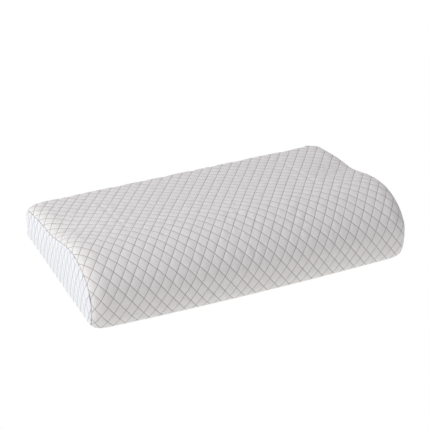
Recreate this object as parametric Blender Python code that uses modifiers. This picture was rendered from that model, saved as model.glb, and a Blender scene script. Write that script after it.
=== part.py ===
# Contour bed pillow: a foam core in a sewn liner, inside a removable zipped cover.
# Metres, +X along the pillow's length, +Y to the low rear side, +Z up, origin under its middle.
import math
import bpy
from mathutils import Vector
from mathutils.geometry import interpolate_bezier

# overall size
length = 0.600
depth = 0.348
crown = 0.003            # how far each end panel swells past its rim
end_round_x = 0.030      # end rounding, measured along the length
end_round_in = 0.0130    # end rounding, measured in from the outline
bow = 0.0069             # how far the front face stands back at its ends

# side profile
front_peak = (-0.0787, 0.1135)
ramp = (0.0350, 0.0966)            # a place on the even fall behind the front lobe
rear_edge = (0.1560, 0.0736)       # where the low rear part starts to round down
fall_slope = -0.19
front_swell_z = 0.047    # height of the front's widest point
front_tuck = 0.0041      # how far the front's foot sits behind its widest point
rear_swell_z = 0.046
foot_radius_front = 0.0115
foot_radius_rear = 0.0100
least_radius = 0.0030

# layers, each as a distance in from the outer surface
cover = (0.0, 0.0024)
tape = (0.0027, 0.0032)
allowance = (0.0027, 0.0037)
liner = (0.0040, 0.0045)
core = 0.0053

# seams, as an angle round the end rounding (0 = where it starts, 90 = at the rim)
seam_angle = 70.0
seam_gap_angle = 0.45
liner_seam_angle = 76.0
liner_gap_angle = 0.6
inner_angles = [0, 15, 30, 45, 60]       # where the liner and the foam have cross-sections
inner_straight = [0.0, 0.1300, 0.2580]

# zip, low on the rear face
zip_z = 0.030
zip_half_length = 0.256
zip_opening = 0.0040     # half height of the gap the teeth show through
butt_opening = 0.00015   # half gap where the cover's edges are sewn together past the zip
pucker_half = 0.0150
pucker_flat = 0.0065
pucker_cover = 0.0050
pucker_inner = 0.0072
tape_inner_edge = 0.0009
tape_width = 0.0120
coil_half_length = 0.2500
coil_inner = 0.0008
coil_outer = 0.0026
coil_low, coil_high = 0.0002, 0.0017     # above the tape's outer face
slider_x = 0.2400
slider_length = 0.0090
stitch_offset = 0.0048

rear_steps, corner_steps, base_steps = 6, 4, 6
front_steps, rise_steps, fall_steps, lift_steps, shoulder_steps = 3, 9, 7, 5, 7


def clearScene():
    for item in list(bpy.data.objects):
        bpy.data.objects.remove(item, do_unlink=True)


def material(name, colour, roughness, metallic=0.0):
    mat = bpy.data.materials.new(name)
    mat.use_nodes = True
    shader = mat.node_tree.nodes["Principled BSDF"]
    shader.inputs["Base Color"].default_value = (*colour, 1.0)
    shader.inputs["Roughness"].default_value = roughness
    shader.inputs["Metallic"].default_value = metallic
    mat.diffuse_color = (*colour, 1.0)
    return mat


def addBody(name, points, faces, mat):
    mesh = bpy.data.meshes.new(name)
    mesh.from_pydata([tuple(p) for p in points], [], faces)
    mesh.materials.append(mat)
    mesh.update()
    body = bpy.data.objects.new(name, mesh)
    pillow.objects.link(body)
    return body


def span(start, end, steps):
    return [start + (end - start) * k / steps for k in range(steps + 1)]


def bend(a, ha, hb, b, steps):
    return [Vector(p) for p in interpolate_bezier(Vector(a), Vector(ha), Vector(hb), Vector(b), steps + 1)]


def smooth(t):
    t = max(0.0, min(1.0, t))
    return t * t * (3 - 2 * t)


def pucker(z, x, deep):
    """Depth of the dent that the zip pulls into the rear face."""
    across = 1 - smooth((abs(z - zip_z) - pucker_flat) / (pucker_half - pucker_flat))
    along = 1 - smooth((abs(x) - 0.258) / 0.022)
    return deep * across * along


def standBack(y, x):
    """How far the bowed front face stands back at a distance along the pillow."""
    return bow * (2 * x / length) ** 2 * max(0.0, min(1.0, (0.05 - y) / 0.2))


def section(inset, x, deep, opening):
    """One cross-section in the YZ plane, from below the zip round the front to above it."""
    i = inset
    back, front = depth / 2 - i, -depth / 2 + i
    rear_r = max(foot_radius_rear - i, least_radius)
    front_r = max(foot_radius_front - i, least_radius)
    foot = front + front_tuck
    pts = [Vector((back, z)) for z in span(zip_z - opening, i + rear_r, rear_steps)]
    for k in range(1, corner_steps + 1):
        a = math.radians(90 * k / corner_steps)
        pts.append(Vector((back - rear_r + rear_r * math.cos(a), i + rear_r - rear_r * math.sin(a))))
    pts += [Vector((y, i)) for y in span(back - rear_r, foot + front_r, base_steps)[1:]]
    for k in range(1, corner_steps + 1):
        a = math.radians(82 * k / corner_steps)
        pts.append(Vector((foot + front_r - front_r * math.sin(a), i + front_r - front_r * math.cos(a))))
    low = pts[-1]
    rise = front_swell_z - low.y
    pts += bend(low, (low.x - 0.13 * rise, low.y + 0.33 * rise), (front, front_swell_z - 0.33 * rise),
                (front, front_swell_z), front_steps)[1:]
    top = (front_peak[0], front_peak[1] - i)
    pts += bend((front, front_swell_z), (front, front_swell_z + 0.59 * (top[1] - front_swell_z)),
                (top[0] + 0.515 * (front - top[0]), top[1]), top, rise_steps)[1:]
    low = (ramp[0], ramp[1] - i)
    run = low[0] - top[0]
    pts += bend(top, (top[0] + 0.16 * run, top[1]), (low[0] - 0.6 * run, low[1] - 0.6 * run * fall_slope), low,
                fall_steps)[1:]
    brink = (rear_edge[0], rear_edge[1] - i)
    run = brink[0] - low[0]
    pts += bend(low, (low[0] + 0.33 * run, low[1] + 0.33 * run * fall_slope),
                (brink[0] - 0.33 * run, brink[1] - 0.33 * run * fall_slope), brink, lift_steps)[1:]
    side = (back, rear_swell_z)
    reach = 0.495 * (back - brink[0])
    pts += bend(brink, (brink[0] + reach, brink[1] + reach * fall_slope), (back, side[1] + 0.674 * (brink[1] - side[1])),
                side, shoulder_steps)[1:]
    pts += [Vector((back, z)) for z in span(rear_swell_z, zip_z + opening, rear_steps)[1:]]
    return [Vector((x, p.x + standBack(p.x, x) - (pucker(p.y, x, deep) if p.x > depth / 4 else 0.0), p.y))
            for p in pts]


def station(angle, layer):
    """Where a layer lies at an angle round the end rounding: (distance along X, inset)."""
    a = math.radians(angle)
    nx, ni = end_round_in * math.sin(a), end_round_x * math.cos(a)
    size = math.hypot(nx, ni)
    x = length / 2 - crown - end_round_x * (1 - math.sin(a)) - layer * nx / size
    return x, end_round_in * (1 - math.cos(a)) + layer * ni / size


def openingAt(x):
    past = smooth((abs(x) - zip_half_length) / 0.006)
    return zip_opening + (butt_opening - zip_opening) * past


def stationList(angles, straight, layer):
    """Stations from the left end to the right: rounded, straight, rounded."""
    right = [(x, layer) for x in straight] + [station(a, layer) for a in angles]
    return [(-x, i) for x, i in reversed(right) if x > 0] + right


def bridge(rows, closed_row, closed_col):
    """Quads over a grid of equal rows, wrapping round where asked."""
    n, m = len(rows), len(rows[0])
    at = lambda r, c: (r % n) * m + c % m
    return [(at(r, c), at(r, c + 1), at(r + 1, c + 1), at(r + 1, c))
            for r in range(n if closed_row else n - 1) for c in range(m if closed_col else m - 1)]


def strip(name, angles, straight, layers, deep, opening, mat):
    """A sheet wrapped round the pillow and open along the zip line, with real thickness."""
    loops = []
    outer, inner = stationList(angles, straight, layers[0]), stationList(angles, straight, layers[1])
    for (xo, io), (xi, ii) in zip(outer, inner):
        out = section(io, xo, deep, opening(xo))
        back = section(ii, xi, deep, opening(xo))
        loops.append(out + back[::-1])
    faces = bridge(loops, False, True)
    n, m = len(loops), len(loops[0])
    half = m // 2
    for r, flip in ((0, False), (n - 1, True)):
        for c in range(half - 1):
            quad = (r * m + c, r * m + c + 1, r * m + m - 2 - c, r * m + m - 1 - c)
            faces.append(quad[::-1] if not flip else quad)
    points = [p for loop in loops for p in loop]
    return addBody(name, points, [f[::-1] for f in faces], mat)


def band(name, pairs, deep, mat):
    """A closed ring of fabric: (x, inset) pairs go up its outside and back down its inside."""
    loops = [section(i, x, deep, zip_opening) for x, i in pairs]
    points = [p for loop in loops for p in loop]
    return addBody(name, points, [f[::-1] for f in bridge(loops, True, True)], mat)


def sleeve(name, angles, straight, layers, deep, mat):
    outer, inner = stationList(angles, straight, layers[0]), stationList(angles, straight, layers[1])
    return band(name, outer + inner[::-1], deep, mat)


def capRings(side, first, layer, deep):
    """Rings from the seam round to the rim, then over the swelling end panel."""
    rings = []
    for angle in span(first, 90.0, 3):
        x, i = station(angle, layer)
        rings.append([Vector((side * p.x, p.y, p.z)) for p in section(i, x, deep, zip_opening)])
    x, i = station(90.0, layer)
    rim = section(i, x, deep, zip_opening)
    for share, swell in ((0.72, 0.62), (0.38, 0.93), (0.10, 1.0)):
        rings.append([Vector((side * (x + crown * swell), p.y * share, 0.044 + (p.z - 0.044) * share))
                      for p in rim])
    return rings


def endPanel(name, side, first, layers, deep, mat):
    """A dished end piece with an outer and an inner skin."""
    outer, inner = (capRings(side, first, layer, deep) for layer in layers)
    loops = outer + inner[::-1]
    m = len(loops[0])
    points = [p for loop in loops for p in loop]
    faces = [f for f in bridge(loops, True, True)]
    middle = len(outer) - 1
    faces = [f for k, f in enumerate(faces) if k // m != middle]
    faces.append(tuple(middle * m + c for c in range(m)))
    faces.append(tuple((middle + 1) * m + c for c in range(m))[::-1])
    if side > 0:
        faces = [f[::-1] for f in faces]
    return addBody(name, points, faces, mat)


def foamCore(mat):
    angles = inner_angles + [liner_seam_angle] + span(liner_seam_angle + liner_gap_angle, 90.0, 3)[1:]
    loops = [section(i, x, pucker_inner, zip_opening) for x, i in stationList(angles, inner_straight, core)]
    m = len(loops[0])
    faces = bridge(loops, False, True)
    faces.append(tuple(range(m))[::-1])
    faces.append(tuple((len(loops) - 1) * m + c for c in range(m)))
    return addBody("foam_core", [p for loop in loops for p in loop], [f[::-1] for f in faces], mat)


def seamBand(name, side, mat):
    angles = span(seam_angle - 13, seam_angle + 9, 3)
    out = [station(a, allowance[0]) for a in angles]
    back = [station(a, allowance[1]) for a in reversed(angles)]
    body = band(name, [(side * x, i) for x, i in out + back], pucker_inner, mat)
    if side < 0:
        body.data.flip_normals()
    return body


def rearY(below_surface, deep):
    return depth / 2 - deep - below_surface


def block(name, low, high, mat, bevel=0.0):
    """A box between two corners, its edges bevelled if asked."""
    size = [h - l for l, h in zip(low, high)]
    mid = [(l + h) / 2 for l, h in zip(low, high)]
    bpy.ops.mesh.primitive_cube_add(size=1, location=mid)
    body = bpy.context.object
    body.name = body.data.name = name
    for v in body.data.vertices:
        v.co = Vector((v.co.x * size[0], v.co.y * size[1], v.co.z * size[2]))
    body.data.materials.append(mat)
    for group in list(body.users_collection):
        group.objects.unlink(body)
    pillow.objects.link(body)
    if bevel:
        mod = body.modifiers.new("Soft edges", "BEVEL")
        mod.width, mod.segments = bevel, 1
    return body


def join(body, other, kind="UNION"):
    mod = body.modifiers.new(other.name, "BOOLEAN")
    mod.operation, mod.object, mod.solver = kind, other, "EXACT"
    pillow.objects.unlink(other)
    tools.objects.link(other)
    other.hide_render = True
    other.display_type = "WIRE"


def zipTape(name, side, mat):
    """One woven tape, following the dent in the rear face."""
    heights = [zip_z + side * t for t in (tape_inner_edge, 0.0045, pucker_flat, 0.0090, tape_width)]
    loops = []
    for x in (-zip_half_length, 0.0, zip_half_length):
        out = [Vector((x, depth / 2 - tape[0] - pucker(z, x, pucker_cover), z)) for z in heights]
        back = [Vector((x, depth / 2 - tape[1] - pucker(z, x, pucker_cover), z)) for z in heights]
        loops.append(out + back[::-1])
    faces = bridge(loops, False, True)
    m = len(loops[0])
    for r, flip in ((0, True), (2, False)):
        for c in range(m // 2 - 1):
            quad = (r * m + c, r * m + c + 1, r * m + m - 2 - c, r * m + m - 1 - c)
            faces.append(quad[::-1] if flip else quad)
    if side < 0:
        faces = [f[::-1] for f in faces]
    return addBody(name, [p for loop in loops for p in loop], faces, mat)


def zipParts(tape_mat, coil_mat, thread_mat, metal):
    face = rearY(tape[0], pucker_cover)          # the tapes' outer face
    cover_face = rearY(0.0, pucker_cover)
    for word, side in (("upper", 1), ("lower", -1)):
        zipTape("zip_tape_" + word, side, tape_mat)
        z = sorted((zip_z + side * coil_inner, zip_z + side * coil_outer))
        block("zip_coil_" + word, (-coil_half_length + 0.004, face + coil_low, z[0]),
              (coil_half_length - 0.004, face + coil_high, z[1]), coil_mat)
        z = sorted((zip_z + side * stitch_offset, zip_z + side * (stitch_offset + 0.0006)))
        block("zip_stitch_" + word, (-zip_half_length, cover_face + 0.00005, z[0]),
              (zip_half_length, cover_face + 0.00035, z[1]), thread_mat)
        z = sorted((zip_z + side * coil_inner, zip_z + side * (coil_outer + 0.0002)))
        block("zip_top_stop_" + word, (coil_half_length - 0.0035, face + 0.0001, z[0]),
              (coil_half_length - 0.0010, face + coil_high + 0.0002, z[1]), metal, 0.0002)
    block("zip_bottom_stop", (-coil_half_length + 0.0005, face + 0.0001, zip_z - coil_outer - 0.0002),
          (-coil_half_length + 0.0035, face + coil_high + 0.0002, zip_z + coil_outer + 0.0002), metal, 0.0003)
    return face, cover_face


def slider(face, metal):
    """Two plates joined by a wedge post, with side flanges and an arch that carries the pull."""
    half = slider_length / 2
    top = face + coil_high + 0.0003
    body = block("zip_slider", (slider_x - half, top, zip_z - 0.0037), (slider_x + half, top + 0.0010, zip_z + 0.0037),
                 metal)
    under = block("lower_plate", (slider_x - half, face - 0.0017, zip_z - 0.0036),
                  (slider_x + half, face - 0.0008, zip_z + 0.0036), metal)
    post = block("post", (slider_x + half - 0.0030, face - 0.0012, zip_z - 0.0005),
                 (slider_x + half - 0.0004, top + 0.0005, zip_z + 0.0005), metal)
    parts = [under, post]
    for side in (-1, 1):
        z = sorted((zip_z + side * 0.0029, zip_z + side * 0.0037))
        parts.append(block("flange", (slider_x - half, face + 0.0005, z[0]),
                           (slider_x + half, top + 0.0005, z[1]), metal))
        x = sorted((slider_x + side * 0.0012, slider_x + side * 0.0020))
        parts.append(block("leg", (x[0], top + 0.0005, zip_z - 0.0006), (x[1], top + 0.0033, zip_z + 0.0006), metal))
    parts.append(block("arch", (slider_x - 0.0020, top + 0.0027, zip_z - 0.0006),
                       (slider_x + 0.0020, top + 0.0034, zip_z + 0.0006), metal))
    for part in parts:
        join(body, part)
    return top + 0.0010


def pull(plate_top, metal):
    """A flat tab with a window at one end; the window's end bar passes under the slider's arch."""
    mid = plate_top + 0.0008
    half = 0.0005
    tab = block("zip_pull", (slider_x - 0.0240, mid - half, zip_z - 0.0025),
                (slider_x + 0.0005, mid + half, zip_z + 0.0025), metal)
    window = block("window", (slider_x - 0.0045, mid - 2 * half, zip_z - 0.0011),
                   (slider_x - 0.0005, mid + 2 * half, zip_z + 0.0011), metal)
    join(tab, window, "DIFFERENCE")
    return mid


def careLabel(mat):
    """A blank folded label, caught in the right-hand seam and lying on the rear face."""
    lift, rows, cols = 0.0003, 4, 3
    at = lambda k, r, c: (k * rows + r) * cols + c
    points = []
    for layer in (-lift - 0.0004, -lift):
        for angle in (62.0, 42.0, 20.0, 0.0):
            x, i = station(angle, layer)
            ring = section(i, x, pucker_cover, zip_opening)
            points += ring[-rear_steps - cols - 2:-rear_steps - 2]
    faces = []
    for r in range(rows - 1):
        for c in range(cols - 1):
            faces.append((at(0, r, c), at(0, r + 1, c), at(0, r + 1, c + 1), at(0, r, c + 1)))
            faces.append((at(1, r, c), at(1, r, c + 1), at(1, r + 1, c + 1), at(1, r + 1, c)))
        for c, flip in ((0, True), (cols - 1, False)):
            quad = (at(0, r, c), at(0, r + 1, c), at(1, r + 1, c), at(1, r, c))
            faces.append(quad[::-1] if flip else quad)
    for c in range(cols - 1):
        for r, flip in ((0, False), (rows - 1, True)):
            quad = (at(0, r, c), at(0, r, c + 1), at(1, r, c + 1), at(1, r, c))
            faces.append(quad[::-1] if flip else quad)
    return addBody("care_label", points, [f[::-1] for f in faces], mat)


clearScene()
pillow = bpy.data.collections.new("contour_pillow")
tools = bpy.data.collections.new("shaping_tools")
bpy.context.scene.collection.children.link(pillow)
bpy.context.scene.collection.children.link(tools)

foam = material("foam", (0.90, 0.87, 0.78), 0.95)
linen = material("liner_knit", (0.92, 0.92, 0.91), 0.90)
knit = material("cover_knit", (0.86, 0.86, 0.87), 0.85)
thread = material("thread", (0.88, 0.88, 0.88), 0.70)
woven = material("zip_tape", (0.85, 0.85, 0.85), 0.80)
nylon = material("zip_coil", (0.80, 0.80, 0.80), 0.45)
zinc = material("zip_metal", (0.62, 0.63, 0.65), 0.30, 1.0)
satin = material("label_satin", (0.93, 0.93, 0.92), 0.50)

foamCore(foam)
sleeve("liner_sleeve", inner_angles + [liner_seam_angle - liner_gap_angle], inner_straight, liner,
       pucker_inner, linen)
strip("cover_wrap", (0, 18, 36, 53, seam_angle - seam_gap_angle), (0.0, 0.1300, 0.2555, 0.2620), cover, pucker_cover,
      openingAt, knit)
for word, side in (("left", -1), ("right", 1)):
    endPanel("liner_end_" + word, side, liner_seam_angle + liner_gap_angle, liner, pucker_inner, linen)
    endPanel("cover_end_" + word, side, seam_angle + seam_gap_angle, cover, pucker_cover, knit)
    seamBand("seam_" + word, side, thread)
tape_face, cover_face = zipParts(woven, nylon, thread, zinc)
plate_top = slider(tape_face, zinc)
pull(plate_top, zinc)
careLabel(satin)
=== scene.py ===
# Contour bed pillow: knit cover over a foam core, with its zip, seams and blank label.
import math

import bmesh
import bpy
import numpy as np
from mathutils import Matrix, Vector


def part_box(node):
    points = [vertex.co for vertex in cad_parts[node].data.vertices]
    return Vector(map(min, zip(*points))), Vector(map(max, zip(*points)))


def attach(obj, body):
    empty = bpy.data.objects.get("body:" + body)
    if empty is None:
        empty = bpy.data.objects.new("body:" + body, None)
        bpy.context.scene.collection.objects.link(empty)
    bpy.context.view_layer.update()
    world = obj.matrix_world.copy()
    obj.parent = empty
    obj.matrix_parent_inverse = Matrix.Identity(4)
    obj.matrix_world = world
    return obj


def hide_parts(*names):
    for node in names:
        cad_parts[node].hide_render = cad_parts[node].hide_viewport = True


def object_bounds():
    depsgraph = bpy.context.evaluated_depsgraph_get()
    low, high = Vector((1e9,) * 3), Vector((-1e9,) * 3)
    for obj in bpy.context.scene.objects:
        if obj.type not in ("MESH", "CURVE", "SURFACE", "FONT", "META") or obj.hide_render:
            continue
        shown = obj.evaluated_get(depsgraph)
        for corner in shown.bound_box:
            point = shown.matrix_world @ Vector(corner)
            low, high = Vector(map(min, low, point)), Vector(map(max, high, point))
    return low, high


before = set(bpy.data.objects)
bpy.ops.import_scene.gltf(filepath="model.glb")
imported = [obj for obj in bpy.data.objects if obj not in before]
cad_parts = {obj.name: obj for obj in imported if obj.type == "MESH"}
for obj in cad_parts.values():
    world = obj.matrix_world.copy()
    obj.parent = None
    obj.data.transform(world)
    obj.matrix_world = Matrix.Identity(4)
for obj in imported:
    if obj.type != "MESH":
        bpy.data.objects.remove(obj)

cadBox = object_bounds()
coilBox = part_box("zip_coil_upper")
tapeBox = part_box("zip_tape_upper")
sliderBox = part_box("zip_slider")
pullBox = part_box("zip_pull")


# The foam's form, which every layer of the pillow follows
form = {
    "length": cadBox[1].x - cadBox[0].x,
    "depth": cadBox[1].y - cadBox[0].y,
    "crown": 0.003,                     # swell of each end panel
    "endRoundX": 0.030,                 # end rounding along the length
    "endRoundIn": 0.0130,               # and in from the outline
    "bow": 0.0069,                      # the front face stands back this far at its ends
    "frontPeak": (-0.0787, 0.1135),
    "ramp": (0.0350, 0.0966),           # a place on the even fall behind the front lobe
    "rearEdge": (0.1560, 0.0736),
    "fallSlope": -0.19,
    "hollow": 0.0075,                   # how deep the top dips beside the end seams
    "frontSwell": 0.047,
    "frontTuck": 0.0041,
    "rearSwell": 0.046,
    "frontFoot": 0.0115,
    "rearFoot": 0.0100,
    "leastRadius": 0.0030,
    "zipHeight": 0.030,
    "pullIn": 0.0050,                   # dent that the zip draws into the rear face
    "seamAngle": 70.0,                  # where the end seams run, round the end rounding
    "linerSeamAngle": 76.0,
}
straight = form["length"] / 2 - form["crown"] - form["endRoundX"]
layers = {"cover": (0.0, 0.0024), "tape": (0.0027, 0.0032), "allowance": (0.0027, 0.0037),
          "liner": (0.0040, 0.0045), "core": 0.0053}


def smooth(t):
    t = np.clip(t, 0, 1)
    return t * t * (3 - 2 * t)


def bend(a, ha, hb, b, steps):
    t = np.linspace(0, 1, steps + 1)[1:, None]
    a, ha, hb, b = (np.array(p, float) for p in (a, ha, hb, b))
    return (1 - t) ** 3 * a + 3 * (1 - t) ** 2 * t * ha + 3 * (1 - t) * t * t * hb + t ** 3 * b


# how many points each stretch of the outline has, in order from the zip
stretches = {"rearWall": 24, "rearFoot": 14, "under": 60, "frontFoot": 14, "frontLow": 24, "rise": 60,
             "fall": 70, "ramp": 60, "shoulder": 36, "backWall": 12}


def pointsTo(stretch):
    # how many steps lie between the zip and the start of a stretch
    names = list(stretches)
    return sum(stretches[name] for name in names[:names.index(stretch)])


def evenly(stretch):
    return np.linspace(0, 1, stretches[stretch] + 1)[1:, None]


def outline(i):
    # one cross-section, i in from the outer face: from the zip down the rear, under, up the front and over
    back, front = form["depth"] / 2 - i, -form["depth"] / 2 + i
    rear = max(form["rearFoot"] - i, form["leastRadius"])
    foot = max(form["frontFoot"] - i, form["leastRadius"])
    heel, zipZ, swell = front + form["frontTuck"], form["zipHeight"], form["frontSwell"]
    parts = [np.array([[back, zipZ]]),
             np.array([back, zipZ]) + evenly("rearWall") * np.array([0, i + rear - zipZ])]
    a = math.pi / 2 * evenly("rearFoot")[:, 0]
    parts.append(np.stack([back - rear + rear * np.cos(a), i + rear - rear * np.sin(a)], 1))
    parts.append(np.array([back - rear, i]) + evenly("under") * np.array([heel + foot - back + rear, 0]))
    a = math.radians(82) * evenly("frontFoot")[:, 0]
    parts.append(np.stack([heel + foot - foot * np.sin(a), i + foot - foot * np.cos(a)], 1))
    low = parts[-1][-1]
    rise = swell - low[1]
    parts.append(bend(low, (low[0] - 0.13 * rise, low[1] + 0.33 * rise), (front, swell - 0.33 * rise),
                      (front, swell), stretches["frontLow"]))
    top = (form["frontPeak"][0], form["frontPeak"][1] - i)
    parts.append(bend((front, swell), (front, swell + 0.59 * (top[1] - swell)),
                      (top[0] + 0.515 * (front - top[0]), top[1]), top, stretches["rise"]))
    slope = form["fallSlope"]
    low = (form["ramp"][0], form["ramp"][1] - i)
    run = low[0] - top[0]
    parts.append(bend(top, (top[0] + 0.16 * run, top[1]), (low[0] - 0.6 * run, low[1] - 0.6 * run * slope),
                      low, stretches["fall"]))
    brink = (form["rearEdge"][0], form["rearEdge"][1] - i)
    run = brink[0] - low[0]
    parts.append(bend(low, (low[0] + 0.33 * run, low[1] + 0.33 * run * slope),
                      (brink[0] - 0.33 * run, brink[1] - 0.33 * run * slope), brink, stretches["ramp"]))
    side = (back, form["rearSwell"])
    reach = 0.495 * (back - brink[0])
    parts.append(bend(brink, (brink[0] + reach, brink[1] + reach * slope),
                      (back, side[1] + 0.674 * (brink[1] - side[1])), side, stretches["shoulder"]))
    parts.append(np.array(side) + evenly("backWall") * np.array([0, zipZ - side[1]]))
    return np.vstack(parts)


insetFrom, insetStep = -0.004, 0.0005
outlines = np.array([outline(insetFrom + k * insetStep) for k in range(48)])
rim0 = outline(0.0)
runs = np.concatenate([[0], np.cumsum(np.hypot(*np.diff(rim0, axis=0).T))])
around = runs[-1]                       # distance round the pillow, zip to zip
footStart = runs[pointsTo("frontFoot")]
endAngles = np.radians(np.linspace(0, 90, 181))
endRuns = np.concatenate([[0], np.cumsum(np.hypot(
    np.diff(form["endRoundX"] * np.sin(endAngles)), np.diff(form["endRoundIn"] * np.cos(endAngles))))])


def outlineAt(inset, t):
    i = np.clip((inset - insetFrom) / insetStep, 0, len(outlines) - 1.001)
    t = np.clip(t, 0, outlines.shape[1] - 1.001)
    i0, t0 = i.astype(int), t.astype(int)
    f, g = (i - i0)[:, None], (t - t0)[:, None]
    near = outlines[i0, t0] * (1 - g) + outlines[i0, t0 + 1] * g
    far = outlines[i0 + 1, t0] * (1 - g) + outlines[i0 + 1, t0 + 1] * g
    return near * (1 - f) + far * f


def settle(x, yz, pullIn):
    # the bow of the front face, and the dent along the zip
    y, z = yz[:, 0].copy(), yz[:, 1]
    y += form["bow"] * (2 * x / form["length"]) ** 2 * np.clip((0.05 - y) / 0.2, 0, 1)
    across = 1 - smooth((np.abs(z - form["zipHeight"]) - 0.0065) / 0.0085)
    along = 1 - smooth((np.abs(x) - 0.258) / 0.022)
    y -= pullIn * across * along * (yz[:, 0] > form["depth"] / 4)
    # the hollow that each end seam keeps behind the front lobe
    hollow = form["hollow"] * smooth((np.abs(x) - 0.19) / 0.10) * np.exp(-((yz[:, 0] - 0.025) / 0.05) ** 2)
    return np.stack([x, y, z - hollow * smooth((z - 0.02) / 0.05)], 1)


def endPlace(a, layer):
    nx, ni = form["endRoundIn"] * np.sin(a), form["endRoundX"] * np.cos(a)
    size = np.hypot(nx, ni)
    x = straight + form["endRoundX"] * np.sin(a) - layer * nx / size
    return x, form["endRoundIn"] * (1 - np.cos(a)) + layer * ni / size


def skinAt(u, v, layer, pullIn=form["pullIn"]):
    # a point of a layer from its place on the laid-out cloth: u along the length, v round from the zip
    u, v, layer = (np.broadcast_to(np.asarray(q, float), np.broadcast(u, v, layer).shape)
                   for q in (u, v, layer))
    a = np.interp(np.abs(u) - straight, endRuns, endAngles)
    x, inset = endPlace(a, layer)
    onFlat = np.abs(u) <= straight
    x = np.where(onFlat, np.abs(u), x)
    inset = np.where(onFlat, layer, inset)
    t = np.interp(v, runs, np.arange(len(runs)))
    return settle(np.copysign(x, u), outlineAt(inset, t), pullIn)


def skinNormal(u, v, layer, reach=0.0007):
    du = skinAt(u + reach, v, layer) - skinAt(u - reach, v, layer)
    dv = skinAt(u, np.minimum(v + reach, around), layer) - skinAt(u, np.maximum(v - reach, 0), layer)
    n = np.cross(du, dv)
    return n / np.maximum(np.linalg.norm(n, axis=1), 1e-12)[:, None]


# The diamond lattice that is knitted into the cover
wrapLattice = {"across": 0.0209, "up": 0.0283, "startU": -0.0914, "startV": 0.0240 + footStart,
               "climb": 0.0469, "lean": 0.0144}
endLattice = {"across": 0.0172, "up": 0.0390, "startU": 0.0040, "startV": 0.0100, "climb": 0.0, "lean": 0.0}


# Over the top the knit lies a little closer and runs askew
drape = {"closer": 1.10, "askew": -0.130, "easeIn": 0.030}
crestRun = float(runs[pointsTo("fall")])
runGrid = np.linspace(0, around, 2001)
onTop = smooth((runGrid - crestRun) / drape["easeIn"])
stepRun = runGrid[1] - runGrid[0]
laidGrid = np.concatenate([[0], np.cumsum((1 + (drape["closer"] - 1) * onTop[1:]) * stepRun)])
shiftGrid = np.concatenate([[0], np.cumsum(drape["askew"] * onTop[1:] * stepRun)])


def clothOf(u, v):
    # the place on the cloth that lies at a place of the pillow's skin
    return u - np.interp(v, runGrid, shiftGrid), np.interp(v, runGrid, laidGrid)


def leanFrom(lattice):
    return footStart + 0.1 if lattice is wrapLattice else 0.0


def linesAt(lattice, u, v):
    # which line of each family runs through a place; whole numbers are on a line
    row = (v - lattice["startV"] - lattice["climb"] * u) / (lattice["up"] / 2)
    column = (u - lattice["startU"] - lattice["lean"] * (v - leanFrom(lattice))) / (lattice["across"] / 2)
    return (column + row) / 2, (column - row) / 2


def placeOf(lattice, a, b):
    row = (a - b) * lattice["up"] / 2 + lattice["startV"]
    column = (a + b) * lattice["across"] / 2 + lattice["startU"] - lattice["lean"] * leanFrom(lattice)
    u = (column + lattice["lean"] * row) / (1 - lattice["lean"] * lattice["climb"])
    return u, row + lattice["climb"] * u


def diamondLift(lattice, u, v):
    a, b = linesAt(lattice, *(clothOf(u, v) if lattice is wrapLattice else (u, v)))
    return np.sqrt(np.abs(np.sin(np.pi * a) * np.sin(np.pi * b)))


def latticeSheet(lattice, offsets, low, high):
    # a flat sheet of small diamonds whose edges lie along the lattice's lines
    corners = [linesAt(lattice, np.array(u), np.array(v))
               for u in (low[0], high[0]) for v in (low[1], high[1])]
    steps = []
    for family in (0, 1):
        values = [float(c[family]) for c in corners]
        whole = range(math.floor(min(values)) - 1, math.ceil(max(values)) + 1)
        steps.append(np.array([k + o for k in whole for o in offsets]))
    a, b = np.meshgrid(steps[0], steps[1], indexing="ij")
    u, v = placeOf(lattice, a, b)
    near = (u > low[0] - 0.012) & (u < high[0] + 0.012) & (v > low[1] - 0.012) & (v < high[1] + 0.012)
    i, j = np.nonzero(near[:-1, :-1] & near[1:, :-1] & near[1:, 1:] & near[:-1, 1:])
    cols = a.shape[1]
    quads = np.stack([i * cols + j, i * cols + j + 1, (i + 1) * cols + j + 1, (i + 1) * cols + j], 1)
    used, quads = np.unique(quads, return_inverse=True)
    points = np.stack([u.ravel()[used], v.ravel()[used]], 1)
    return points, quads.reshape(-1, 4)


def drapedSheet(offsets, low, high):
    # the lattice's own diamonds, laid on the pillow
    spare = abs(float(shiftGrid[-1])) + 0.01
    (_, v0), (_, v1) = clothOf(0.0, low[1]), clothOf(0.0, high[1])
    points, quads = latticeSheet(wrapLattice, offsets, (low[0] - spare, v0), (high[0] + spare, v1))
    beyond = np.array([-0.05, *laidGrid, laidGrid[-1] + 0.05])
    v = np.interp(points[:, 1], beyond, np.array([-0.05, *runGrid, around + 0.05]))
    return np.stack([points[:, 0] + np.interp(v, runGrid, shiftGrid), v], 1), quads


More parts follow.
